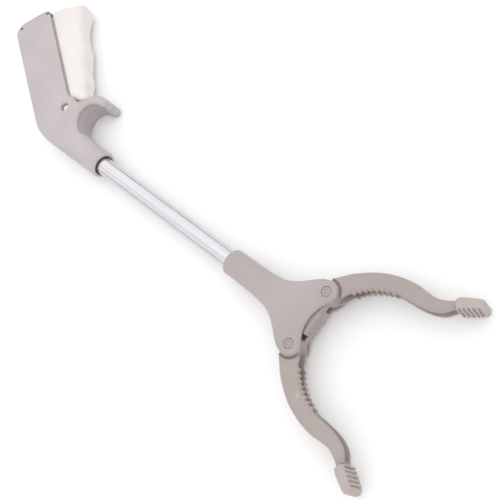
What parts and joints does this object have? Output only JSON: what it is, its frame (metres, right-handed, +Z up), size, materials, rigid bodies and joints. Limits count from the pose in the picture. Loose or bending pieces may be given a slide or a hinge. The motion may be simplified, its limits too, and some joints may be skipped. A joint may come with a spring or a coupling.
{
  "type": "reacher grabber",
  "caption": "Hand-held reacher with a pistol grip, squeeze trigger, tube shaft and hinged jaws that close together on a pull rod.",
  "frame": {"origin": "on the surface it lies on, under the centre of its box, with the jaws open", "axes": "+X along the shaft towards the jaws, +Y to the side that the grip leans to, +Z up through the thickness"},
  "size_m": [0.4374, 0.156, 0.0206],
  "materials": {
    "handle_plastic": "satin moulded, warm grey",
    "head_plastic": "satin moulded, warm grey",
    "jaw_plastic": "satin moulded, warm grey",
    "pad_plastic": "soft moulded, warm grey",
    "trigger_plastic": "satin moulded, ivory white",
    "nylon": "natural nylon",
    "tube_aluminium": "drawn, bare, bright",
    "steel": "bright zinc plated",
    "brass": "turned"
  },
  "bodies": {
    "handle": {"handle_shell_upper": "handle_plastic", "handle_shell_lower": "handle_plastic", "neck_screw": "steel", "handle_tube_screw": "steel", "stop_pin": "nylon", "trigger_hinge_pin": "steel", "shaft_tube": "tube_aluminium", "handle_bush": "nylon", "head_bush": "nylon", "return_spring": "steel", "head_shell_upper": "head_plastic", "head_shell_lower": "head_plastic", "head_tube_screw": "steel", "head_screw": "steel", "jaw_pivot_left": "head_plastic", "jaw_pivot_right": "head_plastic"},
    "trigger": {"trigger": "trigger_plastic"},
    "drive": {"pull_rod": "steel", "rod_yoke": "nylon", "rod_yoke_pin": "steel", "spring_collar": "brass", "crosshead": "nylon", "crosshead_pin": "steel"},
    "jaw_left": {"jaw_left": "jaw_plastic", "jaw_pad_left": "pad_plastic"},
    "jaw_right": {"jaw_right": "jaw_plastic", "jaw_pad_right": "pad_plastic"}
  },
  "joints": [
    {"name": "trigger_squeeze", "type": "hinge", "parent": "handle", "child": "trigger", "pos_m": [-0.11388, -0.0174, 0.0103], "axis": [0, 0, 1], "range_deg": [0, 13.46], "stiffness_Nm_per_rad": 0.8, "springref_deg": -8.59},
    {"name": "rod_slide", "type": "slide", "parent": "handle", "child": "drive", "axis": [-1, 0, 0], "range_m": [0, 0.012], "deforming": ["return_spring"]},
    {"name": "jaw_left_close", "type": "hinge", "parent": "handle", "child": "jaw_left", "pos_m": [0.13512, 0.0059, 0.0103], "axis": [0, 0, -1], "range_deg": [0, 34.5]},
    {"name": "jaw_right_close", "type": "hinge", "parent": "handle", "child": "jaw_right", "pos_m": [0.13512, -0.0319, 0.0103], "axis": [0, 0, 1], "range_deg": [0, 34.5]}
  ],
  "couplings": [
    {"joint": "rod_slide", "follows": "trigger_squeeze", "m_per_rad": 0.051064},
    {"joint": "jaw_left_close", "follows": "trigger_squeeze", "ratio": 2.5617},
    {"joint": "jaw_right_close", "follows": "trigger_squeeze", "ratio": 2.5617}
  ]
}
